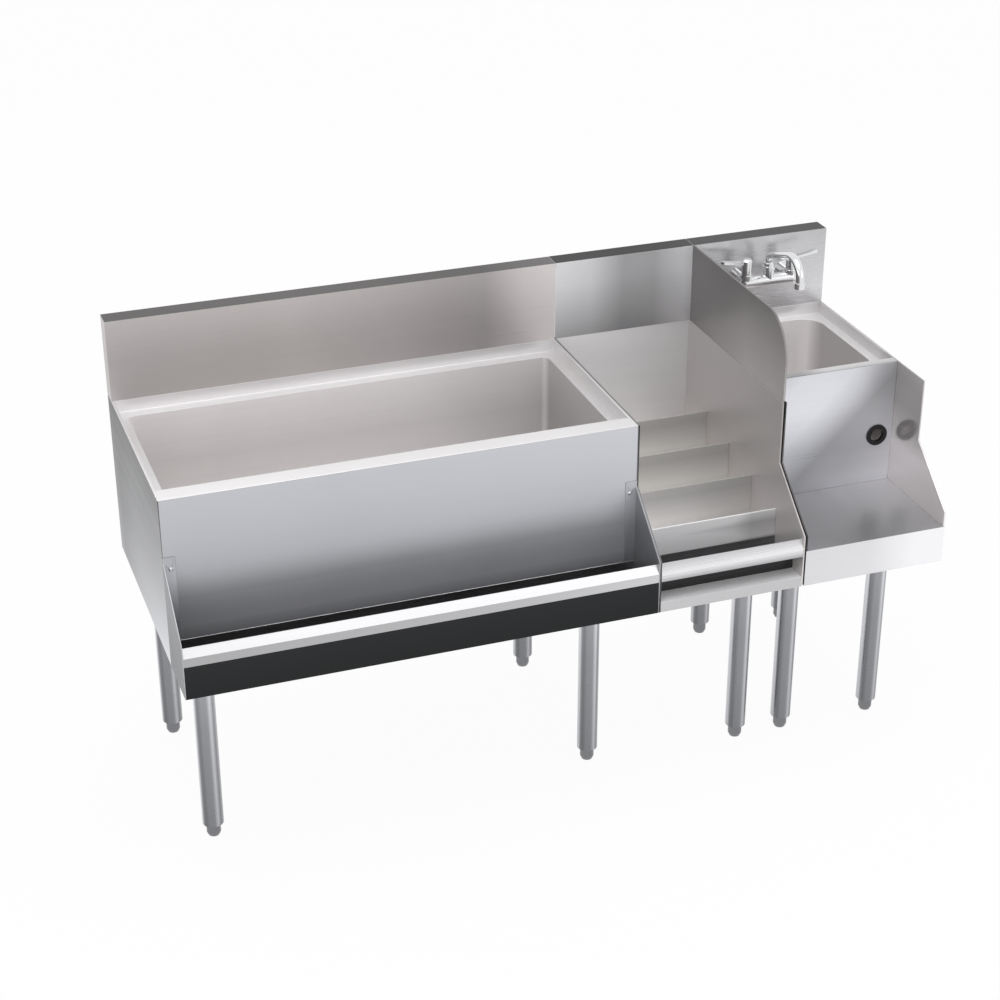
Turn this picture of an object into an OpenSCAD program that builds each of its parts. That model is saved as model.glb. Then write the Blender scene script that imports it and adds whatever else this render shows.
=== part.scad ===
// Underbar cocktail station in stainless sheet steel, three modules bolted in a row:
// an insulated ice bin with a front speed rail, a stepped bottle display, and a small
// hand sink with a splash-mounted tap and a low blender shelf, all on bullet-foot legs.
// Frame: +Z up, origin on the floor under the middle of the station, front faces -Y.

/* [Station] */
// Depth from the rail's front to the back of the backsplash
station_d = 609.6; // [580:0.1:700]
// Height of the deck above the floor
deck_h = 762; // [720:1:900]
// Height of the cabinet under the deck
body_h = 339; // [330:1:360]
// Width of the ice bin module
bin_w = 914.4; // [700:0.1:1100]
// Width of the bottle module
bottle_w = 304.8; // [250:0.1:450]
// Width of the sink module
sink_w = 304.8; // [290:0.1:450]
// Thickness of the sheet steel
sheet = 1.5; // [1:0.1:2]
// Thickness of the doubled side plates of the bottle and sink modules
side_t = 3; // [2:0.5:4]
// Gap left between two modules
module_gap = 0.6; // [0.2:0.1:1.5]

/* [Backsplash] */
// Height of the backsplash above the deck
splash_h = 165; // [130:1:200]
// Depth of the backsplash's top return
splash_t = 42; // [40:1:60]
// Height of the lip turned down at the back of the return
splash_lip = 25; // [10:1:40]

/* [End plates] */
// Depth of the speed rail and of the shelf's reach in front of the ice bin
rail_d = 124; // [110:1:150]
// Height of the upright front edge of every end plate
end_low_h = 108; // [100:1:125]
// Height at which the sloping edge of an end plate meets the front of the bin
end_high_h = 211; // [190:1:230]

/* [Ice bin] */
// Depth of the recess round the opening, where a cover would lie
recess_d = 25.4; // [15:0.1:35]
// Width of the flat rim beside the recess
rim_side = 5; // [4:0.5:12]
// Width of the flat rim in front of the recess
rim_front = 40; // [25:1:60]
// Width of the ledge in the recess at the sides and front
ledge_w = 20; // [12:1:30]
// Width of the ledge in the recess at the back
ledge_rear = 25.4; // [15:0.1:40]
// Depth of the ice bin from the deck to its floor
bin_depth = 301; // [220:1:310]
// Radius of the liner's upright corners
liner_r = 14; // [8:1:40]
// Distance of the bin's drain from its left side
bin_drain_x = 150; // [80:1:400]
// Distance of the bin's drain from the backsplash face
bin_drain_y = 120; // [80:1:200]
// Outer radius of the bin's drain pipe
bin_pipe_r = 16.7; // [10:0.1:25]
// Wall of the bin's drain pipe
bin_pipe_wall = 3.4; // [2:0.1:5]
// Length of drain pipe below the cabinet
bin_pipe_drop = 60; // [30:1:120]
// Thickness of the collar that clamps the drain pipe to the cabinet's bottom
bin_collar_t = 8; // [4:1:14]

/* [Speed rail] */
// Thickness of the end plates of the speed rail
rail_end_t = 2; // [1.5:0.5:6]
// Width of the tab that fixes an end plate to the bin's front
tab_w = 23; // [20:1:40]
// Height of the top of the tab above the cabinet's bottom
tab_h = 224; // [205:1:240]
// Distance of the tab's screw from the end of the bin
tab_screw_x = 14; // [12:0.5:16]
// Distance of the tab's screw below the top of the tab
tab_screw_drop = 25; // [12:1:40]
// Height of the rail's back wall
rail_back_h = 52; // [40:1:70]
// Height of the nose's underside above the cabinet's bottom
nose_low_h = 66; // [50:1:70]
// Height of the upright part of the nose
nose_face_h = 18; // [8:1:20]
// Height of the leaning part of the nose
nose_slope_h = 16.5; // [10:0.5:26]
// Distance by which the top of the nose leans back
nose_lean = 10; // [4:1:20]
// Thickness of the dark face strip under the nose
face_t = 2; // [1:0.5:4]
// Length of the rail screws' shanks
screw_l = 9; // [6:1:14]
// Radius of the screws' shanks
screw_r = 2.1; // [1.5:0.1:2.6]

/* [Bottle display] */
// Number of bottle trays
tray_count = 4; // [4:1:4]
// Height of the top tray's lip above the cabinet's bottom
top_lip_h = 176; // [165:1:190]
// Drop from one lip to the next one forward
tray_drop = 22; // [15:1:26]
// Depth of each tray below its lip
well_d = 76; // [50:1:85]
// Thickness of the hem along a lip
hem_t = 4; // [3:0.5:6]
// Height of the hem along a lip
hem_h = 6; // [4:0.5:10]
// Distance of the rear module screws from the backsplash face
joint_rear = 60; // [40:1:90]
// Height of the rear module screws above the cabinet's bottom
joint_rear_h = 57; // [20:1:60]
// Distance of the front module screws behind the bin's front
joint_front = 62; // [60:1:90]
// Height of the front module screws above the cabinet's bottom
joint_front_h = 17; // [12:1:20]
// Radius of the module screws' shanks
joint_screw_r = 4; // [3:0.5:5]
// Length of the module screws' shanks
joint_screw_l = 12; // [10:1:20]
// Depth of the slot under the bottle rail's nose
slot_d = 41; // [25:1:60]
// Height of the slot's floor above the cabinet's bottom
slot_floor_h = 21; // [12:1:30]

/* [Divider splash] */
// Gap between two side plates that the splash's tongue drops into
divider_gap = 3; // [2:0.5:5]
// Thickness by which the splash overhangs the gap on each side, to rest on the plates
divider_rest = 0.5; // [0.3:0.1:1.5]
// Clearance on each face of the splash's tongue
tongue_fit = 0.15; // [0.1:0.05:0.3]
// Height of the tongue below the deck
tongue_h = 60; // [30:1:100]
// Radius of the splash's top front corner
divider_r = 88; // [40:1:120]
// Distance of the splash's front edge behind the bin's front
divider_inset = 4; // [0:1:20]

/* [Sink] */
// Depth of the sink from the backsplash face to its front panel
sink_d = 339.4; // [310:0.1:360]
// Width of the flat rim in front of the sink's recess
sink_rim_front = 19.4; // [12:0.1:30]
// Width of the ledge behind the bowl
sink_ledge_rear = 21; // [12:1:30]
// Depth of the bowl from the deck to its floor
bowl_depth = 242; // [180:1:250]
// Radius of the bowl's upright corners
bowl_r = 45; // [30:1:70]
// Radius of the cove round the bowl's floor
bowl_cove = 22; // [10:1:28]
// Height of the blender shelf above the cabinet's bottom
shelf_h = 76.5; // [60:0.5:90]
// Distance of the cord grommet from the sink's right side
grommet_x = 37.5; // [30:0.5:80]
// Height of the cord grommet above the cabinet's bottom
grommet_h = 181; // [130:1:220]
// Radius of the grommet's lips
grommet_r = 22.5; // [18:0.5:26]
// Radius of the hole in the panel that holds the grommet
grommet_hole_r = 18.5; // [15:0.5:17.5]
// Radius of the hole through the grommet
grommet_bore_r = 14; // [8:0.5:14.5]

/* [Sink drain] */
// Radius of the drain's flange in the bowl
drain_flange_r = 55; // [50:1:60]
// Outer radius of the drain's cup
drain_cup_r = 43; // [38:0.5:46]
// Depth of the drain's cup below the bowl's floor
drain_cup_h = 46; // [40:1:55]
// Outer radius of the tailpiece, the usual inch and a half tube
tail_r = 19.05; // [16:0.05:20]
// Length of the tailpiece
tail_l = 110; // [60:1:160]
// Height by which the strainer basket lifts
strainer_lift = 60; // [30:1:100]

/* [Tap] */
// Distance between the two supplies
supply_spacing = 101.6; // [90:0.1:120]
// Height of the tap's body above the deck
tap_h = 86; // [75:1:95]
// Distance of the tap's body from the backsplash
tap_reach = 45; // [38:1:60]
// Radius of the tap's body
tap_r = 12.5; // [11:0.5:15]
// Height of the valves and of the spout's bearing above the middle of the body
valve_rise = 26; // [20:1:32]
// Radius of the valve bonnets and of the levers' hubs
valve_r = 11; // [9:0.5:13]
// Height of a lever's hub
hub_h = 26; // [22:1:32]
// Radius of the wall flanges against the backsplash
wall_flange_r = 21; // [18:0.5:24]
// Radius of the threaded supply shanks
shank_r = 10.45; // [9:0.05:11]
// Step up from the threaded end of a shank to the part that the locknut clamps
shank_step = 1.05; // [0.5:0.05:1.5]
// Length of the shanks behind the backsplash face
shank_l = 37; // [30:1:39]
// Thickness of the locknuts behind the backsplash
tap_nut_t = 8; // [6:0.5:12]
// Wall of the spout's tube
spout_wall = 1.2; // [0.8:0.1:2]
// Height of the nut that the spout turns in
spout_nut_h = 12; // [8:0.5:16]
// Radius of the spout's tube
spout_r = 8.5; // [7:0.5:9]
// Forward reach of the spout from its swivel to its mouth
spout_reach = 139; // [120:1:160]
// Angle of the spout's run above level, in degrees
spout_rise = 19; // [5:1:30]
// Length of a lever handle from its spindle
lever_l = 60; // [45:1:75]

/* [Legs] */
// Radius of the leg tubes
leg_r = 20.65; // [18:0.05:25]
// Wall of the leg tubes
leg_wall = 1.5; // [1:0.1:3]
// Height of the bottom of the leg tubes with the feet screwed in
foot_h = 28; // [24:1:40]
// Travel of an adjustable foot
foot_travel = 25; // [10:1:30]
// Distance of the bin's left legs from the bin's left side
bin_leg_left = 63.5; // [45:0.5:120]
// Distance of the bin's right legs from the bin's right side
bin_leg_right = 72; // [45:0.5:120]
// Distance of the bin's front legs from the bin's front
bin_leg_front = 49; // [45:1:90]
// Distance of the bottle module's leg from its right side
bottle_leg_right = 54; // [45:1:100]
// Distance of the sink's left legs from the sink's left side
sink_leg_left = 47; // [45:1:90]
// Distance of the sink's right legs from the sink's right side
sink_leg_right = 56; // [45:1:90]
// Distance of the front legs of the bottle and sink modules behind the bin's front
row_leg_front = 25; // [25:1:36]
// Distance of all rear legs from the back
leg_rear = 51.5; // [45:0.5:90]

/* [Hidden] */
$fn = 48;

// Colours of the finishes
steel = [0.72, 0.72, 0.73];
warm_steel = [0.69, 0.66, 0.64];
dark_strip = [0.13, 0.14, 0.15];
black_rubber = [0.08, 0.08, 0.08];
bright_chrome = [0.85, 0.86, 0.88];
foam = [0.9, 0.85, 0.6];

// Overlap that carries a cut past a face
cut = 1;
// Gap between pieces that must not touch while they move
clear = 0.3;
// Radial clearance of the running fits
running_fit = 0.05;
// Radial clearance of a hole round a pipe or shank
hole_fit = 0.3;

// Planes shared by the whole station
total_w = bin_w + bottle_w + sink_w;
left_x = -total_w / 2;
right_x = total_w / 2;
front_y = -station_d / 2;
rear_y = station_d / 2;
splash_y = rear_y - splash_t;
splash_top = deck_h + splash_h;
base_z = deck_h - body_h;
bin_front_y = front_y + rail_d;
sink_front_y = splash_y - sink_d;

// Left and right limits of each module
bottle_line = left_x + bin_w;
sink_line = bottle_line + bottle_w;
bin_x0 = left_x;
bin_x1 = bottle_line - module_gap / 2;
bottle_x0 = bottle_line + module_gap / 2;
bottle_x1 = sink_line - divider_gap / 2;
sink_x0 = sink_line + divider_gap / 2;
divider_t = divider_gap + 2 * divider_rest;
sink_x1 = right_x;

// Recess and openings
ledge_z = deck_h - recess_d;
bin_open = [bin_x0 + rim_side + ledge_w, bin_x1 - rim_side - ledge_w];
bin_open_y = [bin_front_y + rim_front + ledge_w, splash_y - ledge_rear];
bin_floor_z = deck_h - bin_depth;
liner_cove = liner_r * 0.7;
bowl_in_x = [sink_x0 + side_t + sheet + ledge_w, sink_x1 - side_t - sheet - ledge_w];
bowl_in_y = [sink_front_y + sink_rim_front + ledge_w, splash_y - sink_ledge_rear];
bowl_floor_z = deck_h - bowl_depth;
bowl_mid = [(bowl_in_x[0] + bowl_in_x[1]) / 2, (bowl_in_y[0] + bowl_in_y[1]) / 2];

// Heights up the front
nose_z = base_z + nose_low_h;
nose_top_z = nose_z + nose_face_h + nose_slope_h;
shelf_z = base_z + shelf_h;
slot_floor_z = base_z + slot_floor_h;
rail_rear_y = bin_front_y - sheet;
tray_d = (splash_y - bin_front_y) / tray_count;

// Bin drain
bin_drain_at = [bin_x0 + bin_drain_x, splash_y - bin_drain_y];
bin_drain_flange_r = bin_pipe_r * 1.8;
bin_collar_r = bin_pipe_r * 1.45;
bin_drain_flange_t = 2.5;

// Sink drain
drain_wall = 2;
drain_flange_t = 2;
gasket_t = 3;
locknut_t = 9;
locknut_w = 11;
outlet_r = tail_r + 4;
outlet_l = 18;
strainer_gap = 2;
strainer_r = drain_cup_r - drain_wall - strainer_gap;
strainer_h = drain_cup_h * 0.75;
drain_hole_r = drain_cup_r + hole_fit;

// Tap
tap_x = sink_line + sink_w / 2;
tap_y = splash_y - tap_reach;
tap_z = deck_h + tap_h;
valve_top_z = tap_z + valve_rise;
hub_z = valve_top_z + clear;
waterway_r = 6;
spindle_r = 4;
spindle_l = 18;
tap_washer_t = 2;
arm_r = shank_r + shank_step;
arm_end = tap_reach + sheet + tap_washer_t + tap_nut_t;
spout_nut_z = tap_z + valve_rise;
stem_bottom_z = tap_z - 4;

// The spout's path: a stem, an elbow, a sloping run, a crook and a short mouth
bend_thinning = 0.05;
bend_lap = 0.5;
elbow_r = 18;
elbow_neck = 2;
crook_r = 38;
elbow_z = spout_nut_z + spout_nut_h + elbow_neck;
elbow_turn = 90 - spout_rise;
run_start = elbow_r * [1 - cos(elbow_turn), sin(elbow_turn)];
run_x = spout_reach - crook_r * (1 + sin(spout_rise)) - run_start[0];
run_end = run_start + [run_x, run_x * tan(spout_rise)];
crook_at = run_end + crook_r * [sin(spout_rise), -cos(spout_rise)];
mouth_l = 12;
mouth_z = elbow_z + crook_at[1] - mouth_l - bend_lap;

// Legs
socket_h = 46;
socket_flange_t = 3;
socket_flange_r = 36;
socket_wall = 3;
socket_fit = 0.1;
channel_w = 46;
channel_h = 25;
plug_h = 14;
stem_r = 7.9;
stem_l = 55;
leg_top_z = base_z - socket_flange_t;
rear_leg_y = rear_y - leg_rear;
bin_leg_y = bin_front_y + bin_leg_front;
row_leg_y = bin_front_y + row_leg_front;
LEGS = [
    [bin_x0 + bin_leg_left, bin_leg_y],
    [bin_x1 - bin_leg_right, bin_leg_y],
    [bin_x0 + bin_leg_left, rear_leg_y],
    [bin_x1 - bin_leg_right, rear_leg_y],
    [bottle_x1 - bottle_leg_right, row_leg_y],
    [sink_x0 + sink_leg_left, row_leg_y],
    [sink_x1 - sink_leg_right, row_leg_y],
    [sink_x0 + sink_leg_left, rear_leg_y],
    [sink_x1 - sink_leg_right, rear_leg_y]
];

// A block between two corners
module span(low, high) {
    translate(low) cube(high - low);
}

// A plate that stands across X, from an outline in Y and Z
module plate_x(x, thick, outline) {
    translate([x, 0, 0])
        rotate([90, 0, 90])
            linear_extrude(thick) polygon(outline);
}

// A rectangle with round corners between two corners of a plan
module round_plan(low, high, r) {
    translate(low + [r, 0]) square(high - low - [2 * r, 0]);
    translate(low + [0, r]) square(high - low - [0, 2 * r]);
    for (x = [low[0] + r, high[0] - r])
        for (y = [low[1] + r, high[1] - r])
            translate([x, y]) circle(r);
}

// A block with round upright corners and a cove round its floor
module coved_block(low, high, z0, z1, r, cove) {
    mid = (low + high) / 2;
    flat = (high - low) / 2 - [r, r];
    inset = [cove, cove];
    translate([0, 0, z0 + cove]) linear_extrude(z1 - z0 - cove) round_plan(low, high, r);
    translate([0, 0, z0]) linear_extrude(cove) round_plan(low + inset, high - inset, r - cove);
    for (sx = [-1, 1])
        for (sy = [-1, 1])
            translate([mid[0] + sx * flat[0], mid[1] + sy * flat[1], z0 + cove])
                rotate_extrude() cove_profile(r, cove);
    for (sy = [-1, 1])
        translate([mid[0], mid[1] + sy * flat[1], z0 + cove])
            rotate([90, 0, sy * 90]) translate([0, 0, -flat[0]])
                linear_extrude(2 * flat[0]) cove_profile(r, cove);
    for (sx = [-1, 1])
        translate([mid[0] + sx * flat[0], mid[1], z0 + cove])
            rotate([90, 0, sx < 0 ? 180 : 0]) translate([0, 0, -flat[1]])
                linear_extrude(2 * flat[1]) cove_profile(r, cove);
}

// A quarter disc under the X axis, out to a radius
module cove_profile(r, cove) {
    translate([r - cove, 0])
        intersection() {
            circle(cove);
            translate([0, -cove]) square(cove);
        }
}

// A pan: a coved shell, open at its top, with a round hole in its floor
module pan(low, high, floor_z, top_z, r, cove, hole_at, hole_r) {
    skin = [sheet, sheet];
    difference() {
        coved_block(low - skin, high + skin, floor_z - sheet, top_z, r + sheet, cove + sheet);
        coved_block(low, high, floor_z, top_z + cut, r, cove);
        translate([hole_at[0], hole_at[1], floor_z - sheet - cut])
            cylinder(h = sheet + 2 * cut, r = hole_r);
    }
}

// A ring or a tube that stands on Z
module ring(at, z0, z1, r_out, r_in) {
    translate([at[0], at[1], z0])
        difference() {
            cylinder(h = z1 - z0, r = r_out);
            translate([0, 0, -cut]) cylinder(h = z1 - z0 + 2 * cut, r = r_in);
        }
}

// The outline shared by the end plates: upright front, slope, then upright to the top
function end_outline(front, top) = [
    [rear_y, base_z],
    [front, base_z],
    [front, base_z + end_low_h],
    [bin_front_y, base_z + end_high_h],
    [bin_front_y, top],
    [rear_y, top]
];

// A sunken rim: flat on the outside, an upstand down to a ledge, and the opening
module recessed_rim(x0, x1, y0, flat_side, flat_front, open_x, open_y, open_r, back) {
    in_x0 = x0 + flat_side;
    in_x1 = x1 - flat_side;
    in_y0 = y0 + flat_front;
    difference() {
        union() {
            span([x0, y0, deck_h - sheet], [x1, back, deck_h]);
            span([in_x0 - sheet, in_y0 - sheet, ledge_z - sheet],
                 [in_x1 + sheet, splash_y + sheet, deck_h]);
        }
        span([in_x0, in_y0, ledge_z], [in_x1, splash_y, deck_h + cut]);
        span([in_x0, splash_y + sheet, ledge_z - cut], [in_x1, back + cut, deck_h + cut]);
        translate([0, 0, ledge_z - sheet - cut])
            linear_extrude(sheet + 2 * cut)
                round_plan([open_x[0], open_y[0]], [open_x[1], open_y[1]], open_r);
    }
}

// A length of backsplash: front sheet, top return and the lip behind it
module splash_length(x0, x1) {
    span([x0, splash_y, deck_h], [x1, splash_y + sheet, splash_top]);
    span([x0, splash_y, splash_top - sheet], [x1, rear_y, splash_top]);
    span([x0, rear_y - sheet, splash_top - splash_lip], [x1, rear_y, splash_top]);
}

// The nose along the top of a rail, open at the back
module rail_nose(x0, x1, depth) {
    bend_z = nose_z + nose_face_h;
    plate_x(x0, x1 - x0, [
        [front_y, nose_z],
        [front_y + depth, nose_z],
        [front_y + depth, nose_z + sheet],
        [front_y + sheet, nose_z + sheet],
        [front_y + sheet, bend_z],
        [front_y + nose_lean + sheet, nose_top_z],
        [front_y + nose_lean, nose_top_z],
        [front_y, bend_z]
    ]);
}

// The back wall and the floor of a rail
module rail_channel(x0, x1, front) {
    span([x0, rail_rear_y - sheet, base_z], [x1, rail_rear_y, base_z + rail_back_h]);
    span([x0, front, base_z], [x1, rail_rear_y, base_z + sheet]);
    span([x0, front, base_z], [x1, front + sheet, nose_z + sheet]);
}

// ---- Ice bin: five outer panels, a folded top rim, a liner and foam between them ----

// Runs its children at both rail screws, Z along the shank into the bin
module at_rail_screws() {
    for (x = [bin_x0 + tab_screw_x, bin_x1 - tab_screw_x])
        translate([x, bin_front_y - sheet, base_z + tab_h - tab_screw_drop])
            rotate([-90, 0, 0]) children();
}

// The holes that the rail screws pass through
module rail_screw_holes() {
    at_rail_screws()
        translate([0, 0, -cut]) cylinder(h = screw_l + 2 * cut, r = screw_r + hole_fit);
}

// Runs its children at the module screws, Z along the shank out of the bottle module
module at_module_screws() {
    for (at = [[splash_y - joint_rear, joint_rear_h], [bin_front_y + joint_front, joint_front_h]]) {
        translate([bottle_x0 + side_t, at[0], base_z + at[1]])
            rotate([0, -90, 0]) children();
        translate([bottle_x1 - side_t, at[0], base_z + at[1]])
            rotate([0, 90, 0]) children();
    }
}

// The holes that the module screws pass through
module module_screw_holes() {
    at_module_screws()
        translate([0, 0, -cut]) cylinder(h = joint_screw_l + 2 * cut, r = joint_screw_r + hole_fit);
}

module bin_front_panel() {
    color(steel)
        difference() {
            span([bin_x0 + sheet, bin_front_y, base_z],
                 [bin_x1 - sheet, bin_front_y + sheet, deck_h - sheet]);
            rail_screw_holes();
        }
}

module bin_left_side() {
    color(steel)
        span([bin_x0, bin_front_y, base_z], [bin_x0 + sheet, rear_y, deck_h - sheet]);
}

module bin_right_side() {
    color(steel)
        difference() {
            span([bin_x1 - sheet, bin_front_y, base_z], [bin_x1, rear_y, deck_h - sheet]);
            module_screw_holes();
        }
}

module bin_back_panel() {
    color(steel)
        span([bin_x0 + sheet, rear_y - sheet, base_z],
             [bin_x1 - sheet, rear_y, deck_h - sheet]);
}

module bin_bottom_panel() {
    color(steel)
        difference() {
            span([bin_x0 + sheet, bin_front_y + sheet, base_z],
                 [bin_x1 - sheet, rear_y - sheet, base_z + sheet]);
            translate([bin_drain_at[0], bin_drain_at[1], base_z - cut])
                cylinder(h = sheet + 2 * cut, r = bin_pipe_r + hole_fit);
        }
}

module bin_top_rim() {
    color(warm_steel)
        recessed_rim(bin_x0, bin_x1, bin_front_y, rim_side, rim_front,
                     bin_open, bin_open_y, liner_r, rear_y);
}

module bin_liner() {
    color(warm_steel)
        pan([bin_open[0], bin_open_y[0]], [bin_open[1], bin_open_y[1]], bin_floor_z,
            ledge_z - sheet, liner_r, liner_cove, bin_drain_at, bin_pipe_r + hole_fit);
}

module bin_insulation() {
    skin = [sheet, sheet];
    color(foam)
        difference() {
            span([bin_x0 + sheet, bin_front_y + sheet, base_z + sheet],
                 [bin_x1 - sheet, rear_y - sheet, ledge_z - sheet]);
            translate([0, 0, bin_floor_z - sheet])
                linear_extrude(ledge_z - bin_floor_z + cut)
                    round_plan([bin_open[0], bin_open_y[0]] - skin,
                               [bin_open[1], bin_open_y[1]] + skin, liner_r + sheet);
            translate([bin_drain_at[0], bin_drain_at[1], base_z])
                cylinder(h = bin_floor_z - base_z, r = bin_pipe_r + hole_fit);
            rail_screw_holes();
            module_screw_holes();
        }
}

// A pipe with a flange on the liner's floor and a collar under the cabinet
module bin_drain() {
    color(bright_chrome) {
        ring(bin_drain_at, bin_floor_z, bin_floor_z + bin_drain_flange_t,
             bin_drain_flange_r, bin_pipe_r - bin_pipe_wall);
        ring(bin_drain_at, base_z - bin_collar_t, base_z, bin_collar_r, bin_pipe_r);
        ring(bin_drain_at, base_z - bin_pipe_drop, bin_floor_z + bin_drain_flange_t,
             bin_pipe_r, bin_pipe_r - bin_pipe_wall);
    }
}

// ---- Backsplash: one length on each module, with an end cap at each end of the row ----

module bin_backsplash() {
    color(warm_steel) {
        splash_length(bin_x0, bin_x1);
        span([bin_x0, splash_y, deck_h], [bin_x0 + sheet, rear_y, splash_top]);
    }
}

module bottle_backsplash() {
    color(warm_steel) splash_length(bottle_x0, sink_line - module_gap / 2);
}

module sink_backsplash() {
    color(warm_steel)
        difference() {
            union() {
                splash_length(sink_line + module_gap / 2, sink_x1);
                span([sink_x1 - sheet, splash_y, deck_h], [sink_x1, rear_y, splash_top]);
            }
            for (side = [-1, 1])
                translate([tap_x + side * supply_spacing / 2, splash_y - cut, tap_z])
                    rotate([-90, 0, 0]) cylinder(h = sheet + 2 * cut, r = arm_r + hole_fit);
        }
}

// ---- Speed rail on the bin's front: a trough between two screwed end plates ----

module rail_trough() {
    x0 = bin_x0 + rail_end_t;
    x1 = bin_x1 - rail_end_t;
    color(steel) {
        rail_channel(x0, x1, front_y + face_t);
        rail_nose(x0, x1, face_t + sheet);
    }
}

module rail_face_strip() {
    color(dark_strip)
        span([bin_x0 + rail_end_t, front_y, base_z],
             [bin_x1 - rail_end_t, front_y + face_t, nose_z]);
}

// One end plate, with its outer face at x and the inside of the rail in the given direction
module rail_end(x, inward) {
    x_plate = inward > 0 ? x : x - rail_end_t;
    x_tab = inward > 0 ? x : x - tab_w;
    difference() {
        union() {
            plate_x(x_plate, rail_end_t, [
                [bin_front_y, base_z],
                [front_y, base_z],
                [front_y, base_z + end_low_h],
                [bin_front_y - sheet, base_z + end_high_h],
                [bin_front_y, base_z + end_high_h]
            ]);
            span([x_tab, bin_front_y - sheet, base_z],
                 [x_tab + tab_w, bin_front_y, base_z + tab_h]);
        }
        rail_screw_holes();
    }
}

module rail_left_end() {
    color(steel) rail_end(bin_x0, 1);
}

module rail_right_end() {
    color(steel) rail_end(bin_x1, -1);
}

// Truss-head screws, heads on the tabs
module rail_screws() {
    head_r = screw_r * 2;
    head_t = 1.8;
    color(bright_chrome)
        at_rail_screws() {
            translate([0, 0, -head_t]) cylinder(h = head_t, r1 = head_r * 0.6, r2 = head_r);
            cylinder(h = screw_l, r = screw_r);
        }
}

// ---- Bottle display: two side plates, a back and four trays that step down ----

module bottle_left_side() {
    color(steel)
        difference() {
            plate_x(bottle_x0, side_t, end_outline(front_y, deck_h));
            module_screw_holes();
        }
}

module bottle_right_side() {
    color(warm_steel)
        difference() {
            plate_x(bottle_x1 - side_t, side_t, end_outline(front_y, deck_h));
            module_screw_holes();
        }
}

module bottle_back_panel() {
    color(warm_steel)
        span([bottle_x0 + side_t, splash_y, base_z],
             [bottle_x1 - side_t, splash_y + sheet, deck_h]);
}

// One tray: a floor, and a hemmed front wall that stands on the next tray's floor
module bottle_tray(index) {
    lip_z = base_z + top_lip_h - (index - 1) * tray_drop;
    floor_z = lip_z - well_d;
    front = splash_y - index * tray_d;
    x0 = bottle_x0 + side_t;
    x1 = bottle_x1 - side_t;
    color(warm_steel) {
        span([x0, front, floor_z - sheet], [x1, front + tray_d, floor_z]);
        span([x0, front, floor_z - tray_drop], [x1, front + sheet, lip_z]);
        span([x0, front, lip_z - hem_h], [x1, front + hem_t, lip_z]);
    }
}

module bottle_tray_1() {
    bottle_tray(1);
}

module bottle_tray_2() {
    bottle_tray(2);
}

module bottle_tray_3() {
    bottle_tray(3);
}

module bottle_tray_4() {
    bottle_tray(4);
}

module bottle_rail() {
    x0 = bottle_x0 + side_t;
    x1 = bottle_x1 - side_t;
    color(steel) {
        rail_channel(x0, x1, front_y + slot_d);
        rail_nose(x0, x1, slot_d + sheet);
    }
}

module bottle_rail_shelf() {
    x0 = bottle_x0 + side_t;
    x1 = bottle_x1 - side_t;
    color(steel) {
        span([x0, front_y, slot_floor_z - sheet], [x1, front_y + slot_d, slot_floor_z]);
        span([x0, front_y, base_z], [x1, front_y + sheet, slot_floor_z]);
    }
}

// Hexagon screws that tie the neighbouring modules to the bottle module, under its trays
module module_screws() {
    head_t = 5;
    head_r = 7;
    color(bright_chrome)
        at_module_screws() {
            translate([0, 0, -head_t]) cylinder(h = head_t, r = head_r, $fn = 6);
            cylinder(h = joint_screw_l, r = joint_screw_r);
        }
}

// ---- Divider splash: an upright plate whose tongue drops between two side plates ----

module divider_splash() {
    front = bin_front_y + divider_inset;
    height = splash_top - deck_h;
    length = splash_y - front;
    tongue_t = divider_gap - 2 * tongue_fit;
    color(warm_steel) {
        translate([sink_line - divider_t / 2, front, deck_h])
            rotate([90, 0, 90])
                linear_extrude(divider_t) {
                    translate([divider_r, 0]) square([length - divider_r, height]);
                    square([divider_r, height - divider_r]);
                    translate([divider_r, height - divider_r])
                        intersection() {
                            circle(divider_r, $fn = 96);
                            translate([-divider_r, 0]) square(divider_r);
                        }
                }
        span([sink_line - tongue_t / 2, front + divider_r / 2, deck_h - tongue_h],
             [sink_line + tongue_t / 2, splash_y - divider_r / 2, deck_h]);
    }
}

// ---- Sink: a sunken top, a coved bowl, a front panel and the blender shelf ----

module sink_top() {
    color(warm_steel)
        recessed_rim(sink_x0 + side_t, sink_x1 - side_t, sink_front_y, sheet,
                     sink_rim_front, bowl_in_x, bowl_in_y, bowl_r, splash_y + sheet);
}

module sink_bowl() {
    color(warm_steel)
        pan([bowl_in_x[0], bowl_in_y[0]], [bowl_in_x[1], bowl_in_y[1]], bowl_floor_z,
            ledge_z - sheet, bowl_r, bowl_cove, bowl_mid, drain_hole_r);
}

module sink_front_panel() {
    color(steel)
        difference() {
            span([sink_x0 + side_t, sink_front_y, shelf_z],
                 [sink_x1 - side_t, sink_front_y + sheet, deck_h - sheet]);
            translate([sink_x1 - grommet_x, sink_front_y - cut, base_z + grommet_h])
                rotate([-90, 0, 0]) cylinder(h = sheet + 2 * cut, r = grommet_hole_r);
        }
}

module sink_left_side() {
    color(steel)
        difference() {
            plate_x(sink_x0, side_t, end_outline(front_y + sheet, deck_h));
            module_screw_holes();
        }
}

module sink_right_side() {
    color(steel)
        plate_x(sink_x1 - side_t, side_t, end_outline(front_y + sheet, deck_h));
}

module blender_shelf() {
    color(steel) {
        span([sink_x0 + side_t, front_y, shelf_z - sheet],
             [sink_x1 - side_t, sink_front_y + sheet, shelf_z]);
        span([sink_x0, front_y, base_z], [sink_x1, front_y + sheet, shelf_z]);
    }
}

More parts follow.
